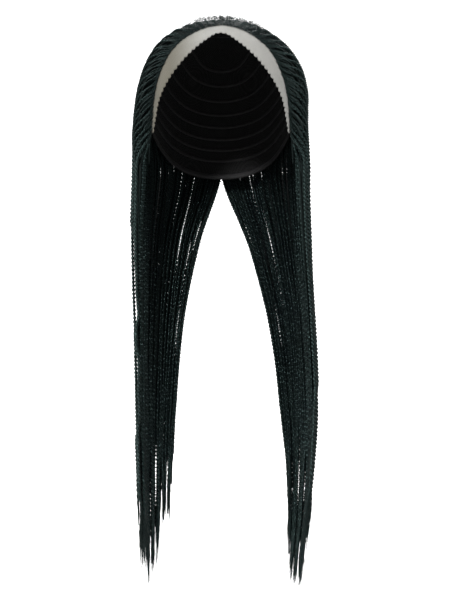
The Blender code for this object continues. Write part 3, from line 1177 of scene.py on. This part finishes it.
# Partings: strands that run together into the root of each outer twist
partings = {
    **fineHair,
    "perTwist": 7,
    "halfWidth": 0.0034,
    "gathered": 0.36,
    "gatherPace": 1.15,
    "outBetween": (0.002, 0.012),
    "early": (-0.0030, 0.0006),
    "length": (0.012, 0.019),
    "height": 0.0016,
    "rise": 0.0004,
    "steps": 5,
    "width": 0.0011,
    "rings": 0.0035,
    "rootShare": 0.35,
    "tipShare": 0.35,
}


def partingStrand(points, n):
    along = lengthsAlong(points)
    heading = (points[1] - points[0]).normalized()
    low, high = (hairSurface(points[0], height) for height in partings["outBetween"])
    out = (high - low).normalized()
    beside = heading.cross(out).normalized()
    place = slotShare(n, partings["perTwist"]) * 2 - 1
    length = dice.uniform(*partings["length"])
    early = dice.uniform(*partings["early"])
    path = []
    for k in range(partings["steps"] + 1):
        share = k / partings["steps"]
        gone = early + (length - early) * share
        middle = points[0] + heading * gone if gone < 0 else atShare(points, along, gone / along[-1])
        together = smooth(share * partings["gatherPace"])
        half = mix(partings["halfWidth"], twists["width"] * partings["gathered"], together)
        spot = middle + beside * (place * half)
        low = hairSurface(spot, partings["height"])
        path.append(low.lerp(spot + out * partings["rise"], smooth(share)))
    return strand(path, partings)


finishHair("partings", perTwist(partingStrand, outerTwists, partings), partings)

# Curls: short ends that stand up in small loops along the top of the hairline
curls = {
    **fineHair,
    "count": 400,
    "onLeft": 0.62,
    "reach": {1: 0.36, -1: 0.28},
    "reachPower": 1.1,
    "behind": (0.004, 0.040),
    "loop": (0.0009, 0.0022),
    "turns": (0.7, 1.7),
    "squeeze": (0.4, 1.0),
    "tilt": (-0.5, 0.5),
    "sink": 0.3,
    "length": 2.0,
    "height": 0.0074,
    "heightShare": (0.66, 1.0),
    "unrest": (500, 0.35),
    "steps": 17,
    "width": 0.00040,
    "thickness": (0.6, 1.2),
    "shade": (-0.1, 0.5),
    "rings": 0.0009,
    "rootShare": 0.5,
    "tipShare": 0.4,
    "taperFrom": 0.7,
}


def curl():
    side = 1 if dice.random() < curls["onLeft"] else -1
    path, along = nearPath(side, 1 - curls["reach"][side] * dice.random() ** curls["reachPower"])
    foot = atShare(path, along, clamp(dice.uniform(*curls["behind"]) / along[-1]))
    top = hairSurface(foot, curls["height"] * dice.uniform(*curls["heightShare"]))
    up = (top - foot).normalized()
    ahead = (up.orthogonal().normalized() + up * dice.uniform(*curls["tilt"])).normalized()
    beside = up.cross(ahead).normalized()
    turned = dice.uniform(0, 2 * math.pi)
    first = ahead * math.cos(turned) + beside * math.sin(turned)
    second = beside * math.cos(turned) - ahead * math.sin(turned)
    radius = dice.uniform(*curls["loop"])
    phase, turns = dice.uniform(0, 2 * math.pi), dice.uniform(*curls["turns"])
    squeeze = dice.uniform(*curls["squeeze"])
    fineness, unrest = curls["unrest"]
    points = []
    for k in range(curls["steps"] + 1):
        share = k / curls["steps"]
        angle = phase + turns * 2 * math.pi * share
        sunk = curls["sink"] + curls["sink"] * math.cos(angle * 0.5)
        lift = top.lerp(foot, sunk) + up * math.sin(angle) * radius * squeeze
        spot = lift + first * math.cos(angle) * radius + second * (share - 0.5) * radius * curls["length"]
        points.append(spot + noise.noise_vector(spot * fineness) * radius * unrest)
    return strand(points, curls)


finishHair("crown_curls", [curl() for _ in range(curls["count"])], curls)

# Strays: short hairs that come off the outer twists
strays = {
    **fineHair,
    "perTwist": 11,
    "points": (2, 3),
    "from": 0.75,
    "standOff": 0.0016,
    "width": 0.00020,
    "shade": (0.2, 0.8),
    "rootShare": 1.0,
    "taperFrom": 0.3,
}


def stray(points, _):
    count = dice.randint(*strays["points"])
    k = dice.randrange(2, len(points) - 2 - count)
    turn = dice.uniform(0, 2 * math.pi)
    spots = []
    for n in range(count):
        heading = (points[k + n + 1] - points[k + n - 1]).normalized()
        first = heading.orthogonal().normalized()
        aside = first * math.cos(turn) + heading.cross(first) * math.sin(turn)
        stand = twists["width"] / 2 * strays["from"] + strays["standOff"] * (n / (count - 1)) ** 2
        spots.append(points[k + n] + aside * stand)
    return strand(spots, strays)


finishHair("stray_hairs", perTwist(stray, outerTwists, strays), strays)

# Front lace: a sheer net band with a pinked edge
lace = {
    "setback": 0.0115,
    "offset": 0.0003,
    "thickness": 0.0004,
    "scallopPitch": 0.0054,
    "scallopDepth": 0.0024,
    "pointsPerScallop": 6,
    "rows": 12,
    "netPitch": 0.0011,
    "threadHalf": 0.30,
    "threadCore": 0.35,
    "cloudSize": 38.0,
    "mixing": 0.55,
    "sheen": {"Specular IOR Level": 0.25, "Sheen Weight": 0.25, "Sheen Roughness": 0.5},
    "bump": (0.6, 0.0003),
    "paleFrom": (-0.056, -0.012),
    "dull": (0.42, 0.395, 0.335),
    "pale": (0.84, 0.84, 0.86),
    "places": (0.12, 0.85),
    "dark": (0.255, 0.248, 0.218),
    "light": (0.50, 0.495, 0.455),
    "rough": (0.85, 0.62),
}


# Threads in three directions, as a value that is 1 on a thread
def netPattern(tree, place):
    parts = addNode(tree, "ShaderNodeSeparateXYZ", {0: place}).outputs
    threads = []
    for turn in (0.0, 60.0, 120.0):
        along, beside = (
            addMath(tree, "MULTIPLY", part, way(math.radians(turn)) / lace["netPitch"])
            for part, way in ((parts[0], math.cos), (parts[1], math.sin))
        )
        away = addMath(tree, "PINGPONG", addMath(tree, "ADD", along, beside), 0.5)
        half = lace["threadHalf"]
        threads.append(remapSoftly(tree, away, (half, half * lace["threadCore"]), (0.0, 1.0)))
    return addMath(tree, "MAXIMUM", *threads)


def laceMaterial():
    made, tree, shader = newMaterial("sheerLace", lace["sheen"])
    net = netPattern(tree, addNode(tree, "ShaderNodeUVMap", uv_map="UVMap").outputs["UV"])
    solid = addNode(tree, "ShaderNodeTexCoord").outputs["Object"]
    cloud = addNoise(tree, solid, lace["cloudSize"], 3.0)
    aside = addNode(tree, "ShaderNodeSeparateXYZ", {0: solid}).outputs[0]
    # The net is darker and browner towards the right temple, at negative x, and lighter from near the middle
    # on
    lighterRightward = remapSoftly(tree, aside, lace["paleFrom"], (0.0, 1.0))
    tone = addMath(tree, "ADD", *(addMath(tree, "MULTIPLY", value, lace["mixing"]) for value in (net, cloud)))
    thread = addRamp(tree, tone, lace["dark"], lace["light"], lace["places"])
    both = {0: thread, 1: addRamp(tree, lighterRightward, lace["dull"], lace["pale"])}
    paint = addNode(tree, "ShaderNodeVectorMath", both, operation="MULTIPLY").outputs["Vector"]
    wireShader(tree, shader, paint, remap(tree, net, (0.0, 1.0), lace["rough"]), net, lace["bump"])
    return made


def meshObject(name, work, paint):
    bmesh.ops.recalc_face_normals(work, faces=work.faces)
    mesh = bpy.data.meshes.new(name)
    work.to_mesh(mesh)
    work.free()
    mesh.materials.append(paint)
    mesh.shade_smooth()
    return addObject(name, mesh)


def thicken(made, thickness):
    wall = made.modifiers.new("wall", "SOLIDIFY")
    wall.thickness = thickness
    wall.offset = 1.0


def laceColumn(work, c, half):
    share = 1 - abs(c) / half
    hair, edge = onLine(hairlineFine, share), onLine(laceEdgeFine, share)
    seam = shifted(hair, edge, -lace["setback"])
    notch = 1 - abs(math.sin(math.pi * c / lace["pointsPerScallop"]))
    edge = shifted(edge, hair, lace["scallopDepth"] * notch)
    column = []
    for row in range(lace["rows"] + 1):
        spot = headSurface(seam.slerp(edge, row / lace["rows"]), lace["offset"])
        if c > 0:
            spot.x = -spot.x
        column.append(work.verts.new(spot))
    return column


def buildLace():
    edgeLength = lengthsAlong([headSurface(towards) for towards in laceEdgeFine])[-1]
    half = round(edgeLength / lace["scallopPitch"]) * lace["pointsPerScallop"]
    work = bmesh.new()
    layer = work.loops.layers.uv.new("UVMap")
    columns = [laceColumn(work, c, half) for c in range(-half, half + 1)]
    travelled = lengthsAlong([column[lace["rows"] // 2].co for column in columns])
    deep = [lengthsAlong([vertex.co for vertex in column]) for column in columns]
    for k in range(len(columns) - 1):
        for row in range(lace["rows"]):
            ring = ((k, row), (k, row + 1), (k + 1, row + 1), (k + 1, row))
            face = work.faces.new([columns[column][level] for column, level in ring])
            for loop, (column, level) in zip(face.loops, ring):
                loop[layer].uv = (travelled[column], deep[column][level])
    area = sum(face.calc_area() for face in work.faces)
    print("lace: area", round(area, 5), "length", round(travelled[-1], 4))
    made = meshObject("front_lace", work, laceMaterial())
    thicken(made, lace["thickness"])
    return made


frontLace = buildLace()
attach(frontLace, "root")
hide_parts("lace_front")

# Cap: stretch net with rows of weft and a bound edge, seen from below and in front
cap = {
    "setback": 0.012,
    "thickness": 0.0009,
    "rows": 22,
    "seamColumns": 44,
    "earColumns": 30,
    "wefts": (0.20, 0.31, 0.42, 0.52, 0.61, 0.70, 0.78, 0.86),
    "weftWidth": 0.0030,
    "weftHeight": 0.0008,
    "bindingWidth": 0.0065,
    "bindingHeight": 0.0006,
    "bindingEnd": 0.998,
    "longerWay": 1.25,
    "netSheen": {"Specular IOR Level": 0.2, "Roughness": 0.75, "Sheen Weight": 0.1},
    "netBump": (0.7, 0.0004),
    "netFineness": 3200.0,
    "netHoles": (0.15, 0.7),
    "netDark": (0.0080, 0.0080, 0.0083),
    "netLight": (0.0460, 0.0465, 0.0475),
    "tapeSheen": {"Specular IOR Level": 0.25, "Sheen Weight": 0.1},
    "tapeBump": (0.5, 0.0003),
    "tapeFineness": 900.0,
    "tapeDark": (0.0180, 0.0180, 0.0188),
    "tapeLight": (0.0720, 0.0720, 0.0735),
    "tapeRough": (0.5, 0.8),
}


def capMaterial():
    made, tree, shader = newMaterial("capNet", cap["netSheen"])
    solid = addNode(tree, "ShaderNodeTexCoord").outputs["Object"]
    place = addNode(tree, "ShaderNodeSeparateXYZ", {0: solid}).outputs
    waves = []
    for first, second in ((0, 1), (1, 2), (2, 0)):
        left = addMath(tree, "SINE", addMath(tree, "MULTIPLY", place[first], cap["netFineness"]))
        right = addMath(tree, "COSINE", addMath(tree, "MULTIPLY", place[second], cap["netFineness"]))
        waves.append(addMath(tree, "MULTIPLY", left, right))
    holes = addMath(tree, "ABSOLUTE", addMath(tree, "ADD", *waves))
    net = remapSoftly(tree, holes, cap["netHoles"], (1.0, 0.0))
    paint = addRamp(tree, net, cap["netDark"], cap["netLight"])
    wireShader(tree, shader, paint, height=net, bump=cap["netBump"])
    return made


def weftMaterial():
    made, tree, shader = newMaterial("weftTape", cap["tapeSheen"])
    solid = addNode(tree, "ShaderNodeTexCoord").outputs["Object"]
    ribs = addNoise(tree, solid, cap["tapeFineness"])
    rough = remap(tree, ribs, (0.0, 1.0), cap["tapeRough"])
    paint = addRamp(tree, ribs, cap["tapeDark"], cap["tapeLight"])
    wireShader(tree, shader, paint, rough, ribs, cap["tapeBump"])
    return made


def capRimWays():
    shares = [k / cap["seamColumns"] for k in range(cap["seamColumns"] + 1)]
    pairs = [(onLine(hairlineFine, share), onLine(laceEdgeFine, share)) for share in shares]
    ways = [shifted(*pair, -cap["setback"]) for pair in pairs]
    overEar = evenly([ways[0]] + [direction(*way) for way in capRim], cap["earColumns"])
    left = overEar[:0:-1] + ways
    return left + [mirrored(towards) for towards in left[-2:0:-1]]


capRimLoop = capRimWays()
capTop = direction(*capPole)


def rimLoop(work, share, offset=0.0):
    return [work.verts.new(headSurface(capTop.slerp(edge, share), offset)) for edge in capRimLoop]


def joinLoops(work, loops):
    for a, b in zip(loops, loops[1:]):
        for k in range(len(a)):
            after = (k + 1) % len(a)
            work.faces.new((a[k], a[after], b[after], b[k]))


def capPiece(name, work, paint):
    made = meshObject(name, work, paint)
    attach(made, "root")
    return made


def buildCap(paint):
    work = bmesh.new()
    top = work.verts.new(headSurface(capTop))
    rows = [rimLoop(work, row / cap["rows"]) for row in range(1, cap["rows"] + 1)]
    joinLoops(work, rows)
    for k, corner in enumerate(rows[0]):
        work.faces.new((top, rows[0][(k + 1) % len(rows[0])], corner))
    made = capPiece("cap_net", work, paint)
    thicken(made, cap["thickness"])
    return made


# A flat tape on the inside of the cap, at a share of the way from its top to its rim
def addTape(work, low, high, height):
    ends = ((low, 0.0), (high, 0.0), (high, -height), (low, -height))
    loops = [rimLoop(work, share, offset) for share, offset in ends]
    joinLoops(work, loops + loops[:1])


def buildTapes(paint):
    deep = (headSurface(capRimLoop[0]) - headSurface(capTop)).length * cap["longerWay"]
    work = bmesh.new()
    for share in cap["wefts"]:
        half = cap["weftWidth"] / deep / 2
        addTape(work, share - half, share + half, cap["weftHeight"])
    capPiece("cap_wefts", work, paint)
    work = bmesh.new()
    addTape(work, 1 - cap["bindingWidth"] / deep, cap["bindingEnd"], cap["bindingHeight"])
    capPiece("cap_binding", work, paint)


capNet = buildCap(capMaterial())
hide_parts("stretch_cap")
buildTapes(weftMaterial())
print("cap built, with", len(cap["wefts"]), "wefts")

# Studio: a plain pale floor, soft light and the photograph's angle
studio = {
    "floorLevel": -0.62,
    "floorRadius": 9.0,
    "backdropRadius": 8.82,
    "segments": 96,
    "floorGlow": 0.9,
    "backdropGlow": 1.0,
    "paint": {
        "Base Color": (0.86, 0.86, 0.86, 1),
        "Emission Color": (1, 1, 1, 1),
        "Roughness": 0.9,
        "Specular IOR Level": 0.1,
    },
    "camera": (0.0042, -1.8, -0.289),
    "lens": 102.9,
    "sensor": 36,
    "clipEnd": 60,
    "suns": {
        "frontLight": (1.5, 8, -8, 38),
        "rightLight": (1.75, 12, -64, 28),
        "leftLight": (1.6, 12, 62, 26),
        "backLight": (1.6, 25, 176, 40),
    },
    "air": 0.26,
}


def addShell(name, work, glow):
    mesh = bpy.data.meshes.new(name)
    work.to_mesh(mesh)
    work.free()
    mesh.materials.append(newMaterial(name + "Paint", {**studio["paint"], "Emission Strength": glow})[0])
    made = addObject(name, mesh)
    made.visible_diffuse = made.visible_glossy = made.visible_shadow = False


def addFloor():
    work = bmesh.new()
    bmesh.ops.create_circle(work, cap_ends=True, segments=studio["segments"], radius=studio["floorRadius"])
    for vertex in work.verts:
        vertex.co.z += studio["floorLevel"]
    addShell("floor", work, studio["floorGlow"])


def addBackdrop():
    work, count = bmesh.new(), studio["segments"]
    bmesh.ops.create_uvsphere(work, u_segments=count, v_segments=count // 2, radius=studio["backdropRadius"])
    bmesh.ops.reverse_faces(work, faces=work.faces)
    addShell("backdrop", work, studio["backdropGlow"])


def addSun(name, power, spread, azimuth, elevation):
    light = bpy.data.lights.new(name, "SUN")
    light.energy, light.angle = power, math.radians(spread)
    made = addObject(name, light)
    made.rotation_euler = (-direction(azimuth, elevation)).to_track_quat("-Z", "Y").to_euler()


def addCamera():
    lens = bpy.data.cameras.new("camera")
    lens.lens, lens.clip_end = studio["lens"], studio["clipEnd"]
    lens.sensor_fit, lens.sensor_height = "VERTICAL", studio["sensor"]
    made = addObject("camera", lens)
    made.location = studio["camera"]
    made.rotation_euler = (math.pi / 2, 0, 0)
    return made


print("triangles in all:", sum(triangleCount(made) for made in collection.objects if made.type == "MESH"))
addFloor()
addBackdrop()
for name, sun in studio["suns"].items():
    addSun(name, *sun)
air = bpy.data.worlds.new("air")
air.use_nodes = True
background = air.node_tree.nodes["Background"].inputs
background["Color"].default_value = (1, 1, 1, 1)
background["Strength"].default_value = studio["air"]
bpy.context.scene.world = air
bpy.context.scene.camera = addCamera()
bpy.context.scene.view_settings.view_transform = "Standard"
print("studio ready")
